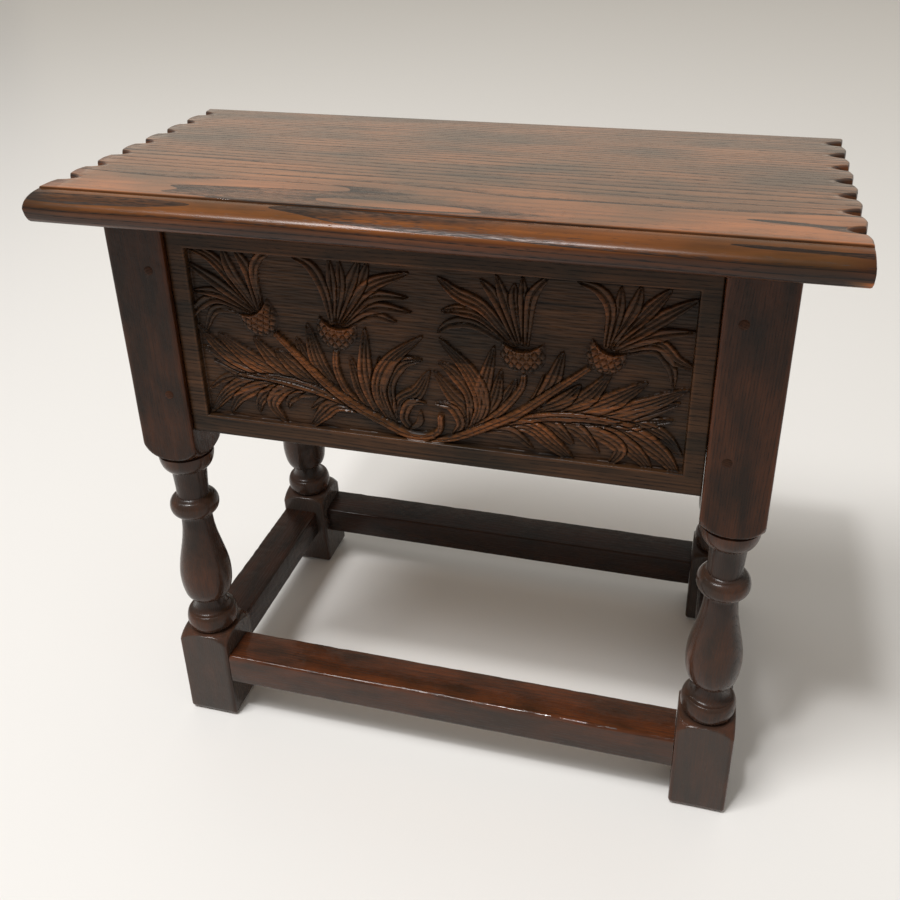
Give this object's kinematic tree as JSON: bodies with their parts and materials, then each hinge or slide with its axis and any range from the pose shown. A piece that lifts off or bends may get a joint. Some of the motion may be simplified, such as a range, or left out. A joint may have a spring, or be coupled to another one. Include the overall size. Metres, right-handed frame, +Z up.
{
  "type": "box stool",
  "caption": "Low oak box stool: raked turned legs, boarded storage box with a carved sunk front, low stretchers all round and a hinged lid with gouged ends.",
  "frame": {"origin": "on the floor, under the middle of the bounding box", "axes": "+Z up, +X along the length to the right seen from the front, front at -Y"},
  "size_m": [0.513, 0.2614, 0.46],
  "materials": {
    "dark_oak": "stained and waxed oak, worn satin",
    "waxed_oak_top": "waxed oak, rubbed paler than the frame",
    "oak_end_grain": "oak end grain",
    "bare_pine": "unfinished pine, aged",
    "old_brass": "dulled brass",
    "wire_iron": "dull iron wire"
  },
  "bodies": {
    "stool": {"front_left_leg": "dark_oak", "front_right_leg": "dark_oak", "back_left_leg": "dark_oak", "back_right_leg": "dark_oak", "front_board": "dark_oak", "back_board": "dark_oak", "left_end_board": "dark_oak", "right_end_board": "dark_oak", "front_stretcher": "dark_oak", "back_stretcher": "dark_oak", "left_stretcher": "dark_oak", "right_stretcher": "dark_oak", "bottom_board": "bare_pine", "left_cleat": "bare_pine", "right_cleat": "bare_pine", "front_left_upper_peg": "oak_end_grain", "front_left_lower_peg": "oak_end_grain", "front_right_upper_peg": "oak_end_grain", "front_right_lower_peg": "oak_end_grain", "back_left_upper_peg": "oak_end_grain", "back_left_lower_peg": "oak_end_grain", "back_right_upper_peg": "oak_end_grain", "back_right_lower_peg": "oak_end_grain", "left_front_upper_peg": "oak_end_grain", "left_front_lower_peg": "oak_end_grain", "right_front_upper_peg": "oak_end_grain", "right_front_lower_peg": "oak_end_grain", "left_back_upper_peg": "oak_end_grain", "left_back_lower_peg": "oak_end_grain", "right_back_upper_peg": "oak_end_grain", "right_back_lower_peg": "oak_end_grain", "left_cleat_front_nail": "wire_iron", "left_cleat_back_nail": "wire_iron", "right_cleat_front_nail": "wire_iron", "right_cleat_back_nail": "wire_iron", "bottom_left_front_nail": "wire_iron", "bottom_left_back_nail": "wire_iron", "bottom_right_front_nail": "wire_iron", "bottom_right_back_nail": "wire_iron", "left_hinge_box_leaf": "old_brass", "left_hinge_box_left_screw": "old_brass", "left_hinge_box_right_screw": "old_brass", "right_hinge_box_leaf": "old_brass", "right_hinge_box_left_screw": "old_brass", "right_hinge_box_right_screw": "old_brass", "left_hinge_pin": "old_brass", "right_hinge_pin": "old_brass"},
    "lid": {"lid": "waxed_oak_top", "left_hinge_lid_leaf": "old_brass", "left_hinge_lid_left_screw": "old_brass", "left_hinge_lid_right_screw": "old_brass", "right_hinge_lid_leaf": "old_brass", "right_hinge_lid_left_screw": "old_brass", "right_hinge_lid_right_screw": "old_brass"}
  },
  "joints": [
    {"name": "lid_hinge", "type": "hinge", "parent": "stool", "child": "lid", "pos_m": [0, 0.11204, 0.44085], "axis": [-1, 0, 0], "range_deg": [0, 175]}
  ]
}
